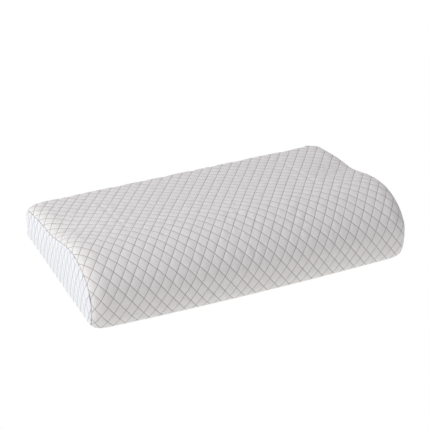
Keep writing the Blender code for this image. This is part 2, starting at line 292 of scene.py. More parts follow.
def trimmed(points, faces, low, high, uLoops, vLoops):
    # cuts a flat sheet to a rectangle, with extra loops along its edges
    bm = bmesh.new()
    mesh = bpy.data.meshes.new("flat")
    mesh.from_pydata([(p[0], p[1], 0.0) for p in points], [], faces.tolist())
    bm.from_mesh(mesh)
    bpy.data.meshes.remove(mesh)
    cuts = [((low[0], 0, 0), (-1, 0, 0), True), ((high[0], 0, 0), (1, 0, 0), True),
            ((0, low[1], 0), (0, -1, 0), True), ((0, high[1], 0), (0, 1, 0), True)]
    cuts += [((s * (high[0] - d), 0, 0), (1, 0, 0), False) for d in uLoops for s in (-1, 1)]
    cuts += [((0, e, 0), (0, 1, 0), False) for d in vLoops for e in (low[1] + d, high[1] - d)]
    for place, normal, clear in cuts:
        bmesh.ops.bisect_plane(bm, geom=bm.verts[:] + bm.edges[:] + bm.faces[:], dist=1e-7, plane_co=place,
                               plane_no=normal, clear_outer=clear)
    bmesh.ops.remove_doubles(bm, verts=bm.verts, dist=0.00012)
    bm.verts.index_update()
    flat = np.array([v.co[:2] for v in bm.verts])
    kept = [[v.index for v in f.verts] for f in bm.faces]
    bm.free()
    return flat, kept


def edgeLoop(faces):
    # the boundary of a set of faces, in the direction its faces run
    onward = {}
    for f in faces:
        for p, q in zip(f, f[1:] + f[:1]):
            onward[(p, q)] = True
    nextOf = {p: q for p, q in onward if (q, p) not in onward}
    start = min(nextOf)
    loop = [start]
    while nextOf[loop[-1]] != start:
        loop.append(nextOf[loop[-1]])
    return loop


def zipLoops(loopA, keyA, loopB, keyB):
    # triangles between two closed loops whose keys both rise from 0 to 1
    i = j = 0
    n, m = len(loopA), len(loopB)
    faces = []
    while i < n or j < m:
        a, b = loopA[i % n], loopB[j % m]
        nextA = keyA[i + 1] if i + 1 < n else 1 + keyA[(i + 1) % n]
        nextB = keyB[j + 1] if j + 1 < m else 1 + keyB[(j + 1) % m]
        if j >= m or (i < n and nextA <= nextB):
            faces.append([a, b, loopA[(i + 1) % n]])
            i += 1
        else:
            faces.append([a, b, loopB[(j + 1) % m]])
            j += 1
    return faces


def turnedTo(loop, key):
    # the loop started at its lowest key
    first = int(np.argmin(key))
    order = list(range(first, len(loop))) + list(range(first))
    return [loop[k] for k in order], [key[k] for k in order]


def rectangleKey(points, low, high):
    # how far round a rectangle each point of its edge is, from 0 to 1
    w, h = high[0] - low[0], high[1] - low[1]
    keys = []
    for u, v in points:
        gaps = [abs(v - low[1]), abs(u - high[0]), abs(v - high[1]), abs(u - low[0])]
        side = int(np.argmin(gaps))
        keys.append([u - low[0], w + v - low[1], w + h + high[0] - u, 2 * w + h + high[1] - v][side])
    keys = np.array(keys) / (2 * w + 2 * h)
    return np.where(keys >= 0.99999, 0.0, keys)


def roll(distance, radius):
    # how far an edge that rolls over has sunk, at a distance from it
    d = np.clip(distance, 0, radius)
    return radius - np.sqrt(np.maximum(radius ** 2 - (radius - d) ** 2, 0))


def addPiece(name, points, faces, uv=None):
    mesh = bpy.data.meshes.new(name)
    mesh.from_pydata(np.asarray(points).tolist(), [], faces)
    mesh.update()
    piece = bpy.data.objects.new(name, mesh)
    bpy.context.scene.collection.objects.link(piece)
    mesh.shade_smooth()
    if uv is not None:
        corner = np.zeros(len(mesh.loops), int)
        mesh.loops.foreach_get("vertex_index", corner)
        layer = mesh.uv_layers.new(name="cloth")
        layer.data.foreach_set("uv", np.asarray(uv)[corner].astype(np.float32).ravel())
    return piece


def outwards(piece):
    # turns every closed shell of a piece to face out
    bm = bmesh.new()
    bm.from_mesh(piece.data)
    bmesh.ops.recalc_face_normals(bm, faces=bm.faces)
    if bm.calc_volume(signed=True) < 0:
        bmesh.ops.reverse_faces(bm, faces=bm.faces)
    bm.to_mesh(piece.data)
    bm.free()
    return piece


def finishPiece(piece, material, slot, *replaced, body="pillow"):
    piece.data.materials.clear()
    piece.data.materials.append(material)
    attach(piece, body)
    if replaced:
        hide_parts(*replaced)
    return piece


def newMaterial(name, **values):
    material = bpy.data.materials.new(name)
    material.use_nodes = True
    shader = material.node_tree.nodes["Principled BSDF"]
    for socket, value in values.items():
        shader.inputs[socket.replace("_", " ")].default_value = value
    return material, material.node_tree, shader


def calc(tree, operation, *values):
    node = tree.nodes.new("ShaderNodeMath")
    node.operation = operation
    for socket, value in zip(node.inputs, values):
        if isinstance(value, (int, float)):
            socket.default_value = value
        else:
            tree.links.new(value, socket)
    return node.outputs[0]


def startGroup(name, inputs, outputs):
    group = bpy.data.node_groups.new(name, "ShaderNodeTree")
    for label, kind, value in inputs:
        socket = group.interface.new_socket(label, in_out="INPUT", socket_type=kind)
        if value is not None:
            socket.default_value = value
    for label, kind in outputs:
        group.interface.new_socket(label, in_out="OUTPUT", socket_type=kind)
    return group, group.nodes.new("NodeGroupInput"), group.nodes.new("NodeGroupOutput")


def splitVector(tree, vector):
    node = tree.nodes.new("ShaderNodeSeparateXYZ")
    tree.links.new(vector, node.inputs[0])
    return node.outputs[0], node.outputs[1], node.outputs[2]


def smoothStep(tree, value, start, end):
    node = tree.nodes.new("ShaderNodeMapRange")
    node.interpolation_type = "SMOOTHSTEP"
    tree.links.new(value, node.inputs["Value"])
    for label, bound in (("From Min", start), ("From Max", end)):
        if isinstance(bound, (int, float)):
            node.inputs[label].default_value = bound
        else:
            tree.links.new(bound, node.inputs[label])
    return node.outputs["Result"]


def mixColour(tree, factor, a, b):
    node = tree.nodes.new("ShaderNodeMix")
    node.data_type = "RGBA"
    for label, value in (("Factor", factor), ("A", a), ("B", b)):
        socket = [s for s in node.inputs if s.name == label and s.enabled][0]
        if isinstance(value, (int, float, tuple)):
            socket.default_value = value
        else:
            tree.links.new(value, socket)
    return [s for s in node.outputs if s.enabled][0]


def shaded(tree, colour, shade):
    # one colour made lighter or darker by a number
    node = tree.nodes.new("ShaderNodeVectorMath")
    node.operation = "SCALE"
    node.inputs[0].default_value = colour
    tree.links.new(shade, node.inputs["Scale"])
    return node.outputs[0]


def noiseAt(tree, vector, scale, detail=2.0, roughness=0.5):
    node = tree.nodes.new("ShaderNodeTexNoise")
    node.inputs["Scale"].default_value = scale
    node.inputs["Detail"].default_value = detail
    node.inputs["Roughness"].default_value = roughness
    if vector is not None:
        tree.links.new(vector, node.inputs["Vector"])
    return node.outputs["Fac"]


def latticeGroup():
    # the two families of yarn lines, from a place on the laid-out cloth in metres
    number = "NodeSocketFloat"
    group, given, made = startGroup(
        "Yarn lattice",
        [("Place", "NodeSocketVector", None), ("Across", number, 0.02), ("Up", number, 0.03),
         ("Start U", number, 0.0), ("Start V", number, 0.0), ("Climb", number, 0.0), ("Lean", number, 0.0),
         ("Line width", number, 0.001), ("Waver", number, 0.0003), ("Stitch", number, 0.0016)],
        [("Line", number), ("Puff", number)])
    u, v, _ = splitVector(group, given.outputs["Place"])
    waver = calc(group, "MULTIPLY", calc(group, "SUBTRACT", noiseAt(group, given.outputs["Place"], 55.0), 0.5),
                 given.outputs["Waver"])
    row = calc(group, "SUBTRACT", calc(group, "SUBTRACT", v, given.outputs["Start V"]),
               calc(group, "MULTIPLY", u, given.outputs["Climb"]))
    row = calc(group, "DIVIDE", calc(group, "ADD", row, waver), given.outputs["Up"])
    column = calc(group, "SUBTRACT", calc(group, "SUBTRACT", u, given.outputs["Start U"]),
                  calc(group, "MULTIPLY", v, given.outputs["Lean"]))
    column = calc(group, "DIVIDE", calc(group, "ADD", column, waver), given.outputs["Across"])
    size = calc(group, "SQRT", calc(group, "ADD", calc(group, "POWER", given.outputs["Across"], 2.0),
                                    calc(group, "POWER", given.outputs["Up"], 2.0)))
    spacing = calc(group, "DIVIDE", calc(group, "MULTIPLY", given.outputs["Across"], given.outputs["Up"]), size)
    lines, puffs = [], []
    for kind in ("ADD", "SUBTRACT"):
        family = calc(group, kind, column, row)
        apart = calc(group, "PINGPONG", family, 0.5)
        far = calc(group, "MULTIPLY", apart, spacing)
        edge = calc(group, "MULTIPLY", given.outputs["Line width"], 0.5)
        line = calc(group, "SUBTRACT", 1.0, smoothStep(group, far, calc(group, "MULTIPLY", edge, 0.55),
                                                       calc(group, "MULTIPLY", edge, 1.45)))
        along = calc(group, "DIVIDE", v, given.outputs["Stitch"])
        beat = calc(group, "MULTIPLY_ADD", calc(group, "SINE", calc(group, "MULTIPLY", along, 2 * math.pi)),
                    0.16, 0.84)
        lines.append(calc(group, "MULTIPLY", line, beat))
        puffs.append(calc(group, "SINE", calc(group, "MULTIPLY", apart, math.pi)))
    group.links.new(calc(group, "MAXIMUM", *lines), made.inputs["Line"])
    group.links.new(calc(group, "SQRT", calc(group, "MULTIPLY", *puffs)), made.inputs["Puff"])
    return group


def knitGroup():
    # rows of small V stitches
    number = "NodeSocketFloat"
    group, given, made = startGroup(
        "Fine knit",
        [("Place", "NodeSocketVector", None), ("Wale", number, 0.0011), ("Course", number, 0.0009)],
        [("Height", number)])
    u, v, _ = splitVector(group, given.outputs["Place"])
    across = calc(group, "PINGPONG", calc(group, "DIVIDE", u, given.outputs["Wale"]), 0.5)
    course = calc(group, "DIVIDE", v, given.outputs["Course"])
    slant = calc(group, "ADD", course, calc(group, "MULTIPLY", across, 0.9))
    loops = calc(group, "PINGPONG", slant, 0.5)
    wale = calc(group, "SINE", calc(group, "MULTIPLY", across, math.pi))
    stitch = calc(group, "SINE", calc(group, "MULTIPLY", loops, math.pi))
    group.links.new(calc(group, "MULTIPLY", calc(group, "SQRT", wale), stitch), made.inputs["Height"])
    return group


def weaveGroup():
    # over-and-under ribbon weave
    number = "NodeSocketFloat"
    group, given, made = startGroup(
        "Ribbon weave",
        [("Place", "NodeSocketVector", None), ("Warp", number, 0.0006), ("Weft", number, 0.0008)],
        [("Height", number)])
    u, v, _ = splitVector(group, given.outputs["Place"])
    a = calc(group, "SINE", calc(group, "MULTIPLY", calc(group, "DIVIDE", u, given.outputs["Weft"]), math.pi))
    b = calc(group, "SINE", calc(group, "MULTIPLY", calc(group, "DIVIDE", v, given.outputs["Warp"]), math.pi))
    over = calc(group, "MULTIPLY_ADD", calc(group, "MULTIPLY", a, b), 0.5, 0.5)
    group.links.new(over, made.inputs["Height"])
    return group


def placeGroup(tree, group, place, **values):
    node = tree.nodes.new("ShaderNodeGroup")
    node.node_tree = group
    if place is not None:
        tree.links.new(place, node.inputs["Place"])
    for label, value in values.items():
        node.inputs[label.replace("_", " ")].default_value = value
    return node


def bumpFrom(tree, shader, height, distance, strength=1.0):
    node = tree.nodes.new("ShaderNodeBump")
    node.inputs["Distance"].default_value = distance
    node.inputs["Strength"].default_value = strength
    tree.links.new(height, node.inputs["Height"])
    tree.links.new(node.outputs[0], shader.inputs["Normal"])


print("materials")
yarnLattice, fineKnit, ribbonWeave = latticeGroup(), knitGroup(), weaveGroup()

coverLooks = {
    "wrap": {"ground": (0.835, 0.815, 0.790), "yarn": (0.330, 0.310, 0.290), "lineWidth": 0.00110},
    "ends": {"ground": (0.825, 0.835, 0.850), "yarn": (0.340, 0.360, 0.390), "lineWidth": 0.0013},
}


def knitMaterial(name, lattice, looks, waver):
    material, tree, shader = newMaterial(name, Roughness=0.88, Sheen_Weight=0.25, Sheen_Roughness=0.45)
    shader.inputs["Specular IOR Level"].default_value = 0.25
    place = tree.nodes.new("ShaderNodeUVMap")
    place.uv_map = "cloth"
    lines = placeGroup(tree, yarnLattice, place.outputs[0], Across=lattice["across"], Up=lattice["up"],
                       Start_U=lattice["startU"] - lattice["lean"] * leanFrom(lattice),
                       Start_V=lattice["startV"], Climb=lattice["climb"], Lean=lattice["lean"],
                       Line_width=looks["lineWidth"], Waver=waver)
    stitches = placeGroup(tree, fineKnit, place.outputs[0])
    soft = noiseAt(tree, place.outputs[0], 26.0, 3.0)
    shade = calc(tree, "MULTIPLY_ADD", soft, 0.05, 0.975)
    shade = calc(tree, "MULTIPLY", shade, calc(tree, "MULTIPLY_ADD", stitches.outputs["Height"], 0.05, 0.965))
    ground = shaded(tree, looks["ground"], shade)
    colour = mixColour(tree, lines.outputs["Line"], ground, (*looks["yarn"], 1.0))
    tree.links.new(colour, shader.inputs["Base Color"])
    sunk = calc(tree, "SUBTRACT", calc(tree, "MULTIPLY", stitches.outputs["Height"], 0.5),
                calc(tree, "MULTIPLY", lines.outputs["Line"], 0.8))
    bumpFrom(tree, shader, sunk, 0.00022, 0.8)
    return material


def plainCloth(name, colour, group, distance, roughness=0.85, **values):
    material, tree, shader = newMaterial(name, Roughness=roughness, Sheen_Weight=0.15)
    place = tree.nodes.new("ShaderNodeUVMap")
    place.uv_map = "cloth"
    threads = placeGroup(tree, group, place.outputs[0], **values)
    soft = noiseAt(tree, place.outputs[0], 40.0, 3.0)
    shade = calc(tree, "MULTIPLY_ADD", soft, 0.08, 0.95)
    shade = calc(tree, "MULTIPLY", shade, calc(tree, "MULTIPLY_ADD", threads.outputs["Height"], 0.12, 0.9))
    tree.links.new(shaded(tree, colour, shade), shader.inputs["Base Color"])
    bumpFrom(tree, shader, threads.outputs["Height"], distance)
    return material


def foamMaterial():
    material, tree, shader = newMaterial("Open-cell foam", Roughness=0.95)
    where = tree.nodes.new("ShaderNodeTexCoord").outputs["Object"]
    cells = tree.nodes.new("ShaderNodeTexVoronoi")
    cells.inputs["Scale"].default_value = 900.0
    tree.links.new(where, cells.inputs["Vector"])
    age = noiseAt(tree, where, 14.0, 4.0)
    colour = mixColour(tree, age, (0.90, 0.86, 0.74, 1.0), (0.86, 0.79, 0.62, 1.0))
    tree.links.new(colour, shader.inputs["Base Color"])
    bumpFrom(tree, shader, cells.outputs["Distance"], 0.0004)
    return material


def threadMaterial():
    material, tree, shader = newMaterial("Spun thread", Roughness=0.7, Sheen_Weight=0.2)
    where = tree.nodes.new("ShaderNodeTexCoord").outputs["Object"]
    x, y, z = splitVector(tree, where)
    ply = calc(tree, "SINE", calc(tree, "MULTIPLY", calc(tree, "ADD", x, calc(tree, "ADD", y, z)), 9000.0))
    shade = mixColour(tree, calc(tree, "MULTIPLY_ADD", ply, 0.5, 0.5), (0.72, 0.72, 0.72, 1.0),
                      (0.86, 0.86, 0.86, 1.0))
    tree.links.new(shade, shader.inputs["Base Color"])
    bumpFrom(tree, shader, ply, 0.00006)
    return material


def nylonMaterial():
    material, tree, shader = newMaterial("Zip nylon", Roughness=0.38)
    where = tree.nodes.new("ShaderNodeTexCoord").outputs["Object"]
    patch = noiseAt(tree, where, 350.0, 2.0)
    tree.links.new(mixColour(tree, patch, (0.80, 0.80, 0.80, 1.0), (0.88, 0.88, 0.87, 1.0)),
                   shader.inputs["Base Color"])
    tree.links.new(calc(tree, "MULTIPLY_ADD", patch, 0.2, 0.28), shader.inputs["Roughness"])
    return material


def zincMaterial():
    material, tree, shader = newMaterial("Plated zinc", Metallic=1.0, Roughness=0.3)
    where = tree.nodes.new("ShaderNodeTexCoord").outputs["Object"]
    stretch = tree.nodes.new("ShaderNodeMapping")
    stretch.inputs["Scale"].default_value = (0.15, 1.0, 1.0)
    tree.links.new(where, stretch.inputs["Vector"])
    scuff = noiseAt(tree, stretch.outputs[0], 4200.0, 3.0, 0.6)
    worn = noiseAt(tree, where, 420.0, 3.0)
    tree.links.new(mixColour(tree, worn, (0.60, 0.61, 0.63, 1.0), (0.74, 0.74, 0.75, 1.0)),
                   shader.inputs["Base Color"])
    tree.links.new(calc(tree, "MULTIPLY_ADD", scuff, 0.24, 0.2), shader.inputs["Roughness"])
    bumpFrom(tree, shader, scuff, 0.00002)
    return material


wrapKnit = knitMaterial("Cover knit", wrapLattice, coverLooks["wrap"], 0.0006)
endKnit = knitMaterial("Cover knit, end panels", endLattice, coverLooks["ends"], 0.0008)
linerKnit = plainCloth("Liner knit", (0.92, 0.92, 0.91), fineKnit, 0.00012, Wale=0.0009, Course=0.0007)
tapeCloth = plainCloth("Zip tape", (0.86, 0.86, 0.86), ribbonWeave, 0.0002, 0.8, Warp=0.0006, Weft=0.0008)
satin = plainCloth("Label satin", (0.93, 0.93, 0.92), ribbonWeave, 0.00004, 0.42, Warp=0.00018, Weft=0.0006)
overlock = plainCloth("Overlocked edge", (0.87, 0.87, 0.87), fineKnit, 0.0003, Wale=0.0016, Course=0.0022)
foam, thread, nylon, zinc = foamMaterial(), threadMaterial(), nylonMaterial(), zincMaterial()


wrap = {
    "across": (0.0, 0.09, 0.28, 0.50, 0.72, 0.91),    # where each diamond is divided
    "underAcross": (0.0, 0.5),
    "puff": 0.0007,                                  # how proud the diamonds stand of their lines
    "zipGap": 0.0040,                                # half the gap that shows the teeth
    "seamRoll": 0.0020,
    "hemRoll": 0.0014,
    "pinch": 0.0009,                                 # how far the end seams draw the cloth in
    "slack": 0.012,                                   # spare cloth in the simulation
    "mostSlack": 0.0009,                             # and the most that it may move
}
seamRun = float(np.interp(math.radians(form["seamAngle"] - 0.45), endAngles, endRuns))
wrapLow = (-(straight + seamRun), wrap["zipGap"])
wrapHigh = (straight + seamRun, around - wrap["zipGap"])


def closedGap(u, v):
    # beyond the zip's ends the cover's two edges come together
    past = smooth((np.abs(u) - 0.256) / 0.006)
    toEdge = np.minimum(v - wrapLow[1], wrapHigh[1] - v)
    shift = (wrap["zipGap"] - 0.00015) * past * (1 - smooth(toEdge / 0.014))
    return np.where(v < around / 2, v - shift, v + shift)


def simulatedSlack():
    # a coarse sheet of the same cloth, a little too big, held softly to the form and left to find its folds
    cols, rows = 91, 121
    u = np.linspace(wrapLow[0], wrapHigh[0], cols)
    v = np.linspace(wrapLow[1], wrapHigh[1], rows)
    gu, gv = np.meshgrid(u, v, indexing="ij")
    start = skinAt(gu.ravel(), gv.ravel(), 0.0)
    at = lambda i, j: i * rows + j
    faces = [[at(i, j), at(i + 1, j), at(i + 1, j + 1), at(i, j + 1)]
             for i in range(cols - 1) for j in range(rows - 1)]
    cloth = addPiece("slackTrial", start, faces)
    hold = np.full(cols * rows, 0.25)
    edge = np.minimum.reduce([gu - u[0], u[-1] - gu, gv - v[0], v[-1] - gv]).ravel()
    hold[edge < 0.004] = 1.0
    hold[start[:, 2] < 0.004] = 1.0
    held = cloth.vertex_groups.new(name="held")
    for value in (0.25, 1.0):
        held.add(np.nonzero(hold == value)[0].tolist(), value, "REPLACE")
    cloth.modifiers.new("Cloth", "CLOTH")
    settings = cloth.modifiers["Cloth"].settings
    settings.quality = 6
    settings.mass = 0.2
    settings.tension_stiffness = settings.compression_stiffness = 12
    settings.shear_stiffness = 4
    settings.bending_stiffness = 0.05
    settings.shrink_min = -wrap["slack"]
    settings.use_pressure = True
    settings.uniform_pressure_force = 2.0
    settings.vertex_group_mass = "held"
    settings.pin_stiffness = 0.6
    settings.effector_weights.gravity = 0
    for step in range(1, 21):
        bpy.context.scene.frame_set(step)
    dg = bpy.context.evaluated_depsgraph_get()
    done = cloth.evaluated_get(dg)
    end = np.zeros(len(start) * 3, np.float32)
    done.data.vertices.foreach_get("co", end)
    bpy.context.scene.frame_set(1)
    mesh = cloth.data
    bpy.data.objects.remove(cloth)
    bpy.data.meshes.remove(mesh)
    out = ((end.reshape(-1, 3) - start) * skinNormal(gu.ravel(), gv.ravel(), 0.0)).sum(1).reshape(cols, rows)
    out -= np.median(out)
    print("slack moved", round(float(np.abs(out).max()) * 1000, 2), "mm before the cap")
    out = wrap["mostSlack"] * np.tanh(out / wrap["mostSlack"])
    fade = smooth(edge.reshape(cols, rows) / 0.02)
    return u, v, out * fade


def sampled(field, u, v):
    gu, gv, values = field
    i = np.clip((u - gu[0]) / (gu[1] - gu[0]), 0, len(gu) - 1.001)
    j = np.clip((v - gv[0]) / (gv[1] - gv[0]), 0, len(gv) - 1.001)
    i0, j0 = i.astype(int), j.astype(int)
    f, g = i - i0, j - j0
    return ((values[i0, j0] * (1 - g) + values[i0, j0 + 1] * g) * (1 - f)
            + (values[i0 + 1, j0] * (1 - g) + values[i0 + 1, j0 + 1] * g) * f)


def gathers(v, deep):
    # small puckers along a seam
    return deep * (0.5 * np.sin(v * 2 * np.pi / 0.0173 + 0.7) + 0.3 * np.sin(v * 2 * np.pi / 0.0097 + 2.1)
                   + 0.4 * np.sin(v * 2 * np.pi / 0.041))


def makeWrap(slack):
    flat, faces = trimmed(*drapedSheet(wrap["across"], wrapLow, wrapHigh), wrapLow, wrapHigh,
                          (0.0002, 0.0007, 0.0014, 0.0022), (0.0002, 0.0006, 0.0012, 0.0020, 0.0046, 0.0054))
    u, v = flat.T
    toSeam = wrapHigh[0] - np.abs(u)
    toZip = np.minimum(v - wrapLow[1], wrapHigh[1] - v)
    sink = np.maximum(roll(toSeam, wrap["seamRoll"]), roll(toZip, wrap["hemRoll"]))
    sink += (wrap["pinch"] + gathers(v, 0.0003)) * np.exp(-(toSeam / 0.006) ** 2) * smooth(toSeam / 0.002)
    sink += 0.0002 * np.exp(-((toZip - 0.0011) / 0.0006) ** 2)
    v2 = closedGap(u, v)
    points = skinAt(u, v2, 0.0)
    normals = skinNormal(u, v2, 0.0)
    lift = wrap["puff"] * diamondLift(wrapLattice, u, v)
    lift = lift * smooth(toSeam / 0.006) * smooth((toZip - 0.001) / 0.008)
    lift *= 0.35 + 0.65 * smooth((points[:, 2] - 0.001) / 0.012)
    floorHeld = smooth((points[:, 2] - 0.002) / 0.02)
    if slack is not None:
        lift += sampled(slack, u, v) * floorHeld
    points += normals * (lift - sink)[:, None]
    points[:, 2] = np.maximum(points[:, 2], 0.0)
    under, underFaces = trimmed(*drapedSheet(wrap["underAcross"], wrapLow, wrapHigh), wrapLow, wrapHigh,
                                (), ())
    uu, uv = under.T
    inner = skinAt(uu, closedGap(uu, uv), layers["cover"][1])
    count = len(points)
    loopA = edgeLoop(faces)
    loopB = edgeLoop(underFaces)
    loopA, keyA = turnedTo(loopA, rectangleKey(flat[loopA], wrapLow, wrapHigh))
    loopB, keyB = turnedTo(loopB, rectangleKey(under[loopB], wrapLow, wrapHigh))
    rim = zipLoops(loopA, keyA, [count + k for k in loopB], keyB)
    allFaces = faces + [[count + k for k in f[::-1]] for f in underFaces] + rim
    piece = addPiece("coverWrap", np.vstack([points, inner]), allFaces,
                     np.stack(clothOf(*np.vstack([flat, under]).T), 1))
    return piece


print("cover wrap")
slack = simulatedSlack()
coverWrap = finishPiece(makeWrap(slack), wrapKnit, "cover_knit", "cover_wrap")
print("cover wrap has", len(coverWrap.data.polygons), "faces")


def nearestOnRim(rim, points):
    # for each point: its distance out from the closed rim, and how far round the nearest place is
    a, b = rim, np.roll(rim, -1, 0)
    ab = b - a
    best = np.full(len(points), 1e9)
    t = np.zeros(len(points))
    for k in range(len(rim)):
        size = max(float(ab[k] @ ab[k]), 1e-15)
        s = np.clip((points - a[k]) @ ab[k] / size, 0, 1)
        d = np.hypot(*(points - a[k] - s[:, None] * ab[k]).T)
        closer = d < best
        best[closer] = d[closer]
        t[closer] = (k + s)[closer]
    y, z = points.T
    inside = np.zeros(len(points), bool)
    for (y0, z0), (y1, z1) in zip(a, b):
        if z0 != z1:
            crosses = ((z0 > z) != (z1 > z)) & (y < (y1 - y0) * (z - z0) / (z1 - z0) + y0)
            inside ^= crosses
    return np.where(inside, -best, best), t


def panelSkin(lattice, offsets, layer, seamAngle, rings, ringPoints, rollRadius, puff):
    # one skin of an end panel on the +X side: a fan of rings round the rounding, and diamonds over the flat
    rimInset = float(endPlace(math.pi / 2, layer)[1])
    rim = outlineAt(np.full(len(rim0), rimInset), np.arange(len(rim0), dtype=float))[:-1]
    low, high = rim.min(0), rim.max(0)
    flat, quads = latticeSheet(lattice, offsets, low, high)
    out, t = nearestOnRim(rim, flat)
    middle, _ = nearestOnRim(rim, flat[quads].mean(1))
    kept = quads[middle < -0.0012]
    for _ in range(6):
        sides = {}
        for k, q in enumerate(kept.tolist()):
            for p in zip(q, q[1:] + q[:1]):
                sides.setdefault(frozenset(p), []).append(k)
        joined = np.zeros(len(kept), int)
        for owners in sides.values():
            if len(owners) == 2:
                joined[owners] += 1
        if (joined > 1).all():
            break
        kept = kept[joined > 1]
    used, kept = np.unique(kept, return_inverse=True)
    kept = kept.reshape(-1, 4)
    flat, out, t = flat[used], out[used], t[used]
    loop = edgeLoop(kept.tolist())
    # the edge of the diamonds is drawn onto a line just inside the rim
    n = len(rim)
    turn = np.unwrap(t[loop] * 2 * np.pi / n) * n / (2 * np.pi)
    forward = turn[-1] > turn[0]
    ordered = turn if forward else -turn
    wide = np.concatenate([ordered[-3:] - n, ordered, ordered[:3] + n])
    ordered = np.convolve(wide, np.ones(7) / 7, "valid")
    ordered = np.maximum.accumulate(ordered + np.arange(len(ordered)) * 1e-4)
    turn = ordered if forward else -ordered
    inner = rimInset + 0.0006
    flat[loop] = outlineAt(np.full(len(loop), inner), np.mod(turn, n))
    toRim = np.maximum(-out, 0)
    toRim[loop] = 0.0
    crown = form["crown"] * (1 - np.exp(-toRim / 0.017))
    a, b = linesAt(lattice, flat[:, 0], flat[:, 1])
    x = straight + form["endRoundX"] - layer + crown + puff * diamondLift(lattice, flat[:, 0], flat[:, 1])
    x -= puff * 0.6 * np.exp(-toRim / 0.003)
    points = settle(x, flat, 0.0)
    cloth = [flat]
    faces = kept.tolist()
    # rings from the edge of the diamonds to the seam
    seamAt = math.radians(seamAngle)
    along = np.linspace(0, 1, ringPoints, endpoint=False)
    lengths = np.concatenate([[0], np.cumsum(np.hypot(*np.diff(np.vstack([rim, rim[:1]]), axis=0).T))])
    ringT = np.interp(along * lengths[-1], lengths, np.arange(len(lengths)))
    ringAngles = np.linspace(math.pi / 2, seamAt, rings)
    runsOut = np.interp(ringAngles, endAngles, endRuns)
    if rollRadius:
        extra = runsOut[-1] + np.array([rollRadius * 0.6, rollRadius * 0.3, rollRadius * 0.1, 0.0])
        runsOut = np.concatenate([runsOut[runsOut > extra[0] + 0.0002], extra])
        ringAngles = np.interp(runsOut, endRuns, endAngles)
    stacked, keys, count = [points], [], len(points)
    seamPoint = np.interp(seamAt, endAngles, endRuns)
    for k, angle in enumerate(ringAngles):
        x, inset = endPlace(angle, layer)
        if rollRadius:
            sink = float(roll(runsOut[k] - seamPoint, rollRadius))
            x, inset = endPlace(angle, layer + sink)
        yz = outlineAt(np.full(ringPoints, float(inset)), np.mod(ringT, n))
        stacked.append(settle(np.full(ringPoints, float(x)), yz, form["pullIn"]))
        outward = yz - outlineAt(np.full(ringPoints, rimInset), np.mod(ringT, n))
        size = np.maximum(np.hypot(*outward.T), 1e-9)[:, None]
        cloth.append(outlineAt(np.full(ringPoints, rimInset), np.mod(ringT, n))
                     + outward / size * (endRuns[-1] - runsOut[k]))
    rowsOut = len(ringAngles)
    ringAt = lambda r, c: count + r * ringPoints + c % ringPoints
    for r in range(rowsOut - 1):
        for c in range(ringPoints):
            faces.append([ringAt(r, c), ringAt(r, c + 1), ringAt(r + 1, c + 1), ringAt(r + 1, c)])
    keyA = np.mod(np.interp(np.mod(turn, n), np.arange(len(lengths)), lengths) / lengths[-1], 1)
    if not forward:
        loop, keyA = loop[::-1], keyA[::-1]
    loopA, keyA = turnedTo(list(loop), list(keyA))
    faces += [f[::-1] for f in zipLoops(loopA, keyA, [ringAt(0, c) for c in range(ringPoints)], list(along))]
    outer = [ringAt(rowsOut - 1, c) for c in range(ringPoints)]
    return np.vstack(stacked), faces, np.vstack(cloth), outer, along


def makePanel(name, side, lattice, offsets, underOffsets, layerPair, seamAngle, rollRadius, puff, ringPoints):
    top, faces, cloth, outer, keyA = panelSkin(lattice, offsets, layerPair[0], seamAngle, 9, ringPoints,
                                               rollRadius, puff)
    under, underFaces, underCloth, inner, keyB = panelSkin(lattice, underOffsets, layerPair[1], seamAngle, 4,
                                                           max(ringPoints // 3, 60), 0.0, 0.0)
    count = len(top)
    rim = zipLoops(outer, list(keyA), [count + k for k in inner], list(keyB))
    points = np.vstack([top, under])
    allFaces = faces + [[count + k for k in f[::-1]] for f in underFaces] + rim
    if side < 0:
        points[:, 0] *= -1
    return outwards(addPiece(name, points, allFaces, np.vstack([cloth, underCloth])))


print("end panels")
endDivisions = (0.0, 0.1, 0.3, 0.5, 0.7, 0.9)
for word, side in (("Left", -1), ("Right", 1)):
    panel = makePanel("coverEnd" + word, side, endLattice, endDivisions, (0.0, 0.5), layers["cover"],
                      form["seamAngle"] + 0.45, 0.0018, 0.0006, 420)
    finishPiece(panel, endKnit, "cover_knit", "cover_end_" + word.lower())


def addGrid(name, loops, clothU, clothV, closedRows, closedCols, wrapV=0.0):
    # a grid of equal loops, with its cloth map carried across the place where it closes
    n, m = len(loops), len(loops[0])
    r, c = np.meshgrid(np.arange(n if closedRows else n - 1), np.arange(m if closedCols else m - 1),
                       indexing="ij")
    r, c = r.ravel(), c.ravel()
    rows = np.stack([r, r + 1, r + 1, r], 1)
    cols = np.stack([c, c, c + 1, c + 1], 1)
    faces = (rows % n) * m + cols % m
    piece = addPiece(name, np.vstack(loops), faces.tolist())
    layer = piece.data.uv_layers.new(name="cloth")
    uv = np.stack([np.asarray(clothU)[rows % n], np.asarray(clothV)[cols % m] + wrapV * (cols >= m)], -1)
    layer.data.foreach_set("uv", uv.reshape(-1).astype(np.float32))
    return piece


def capEnds(piece, n, m):
    bm = bmesh.new()
    bm.from_mesh(piece.data)
    bm.verts.ensure_lookup_table()
    for row, flip in ((0, False), (n - 1, True)):
        ring = [bm.verts[row * m + k] for k in range(m)]
        bm.faces.new(ring[::-1] if flip else ring)
    bm.to_mesh(piece.data)
    bm.free()


# Inside the cover: seam allowances, liner and foam
inside = {"aroundPoints": 300, "pullIn": 0.0072, "allowanceAngles": (57.0, 79.0), "ripple": 0.00012}
vInside = np.linspace(0, around, inside["aroundPoints"], endpoint=False)


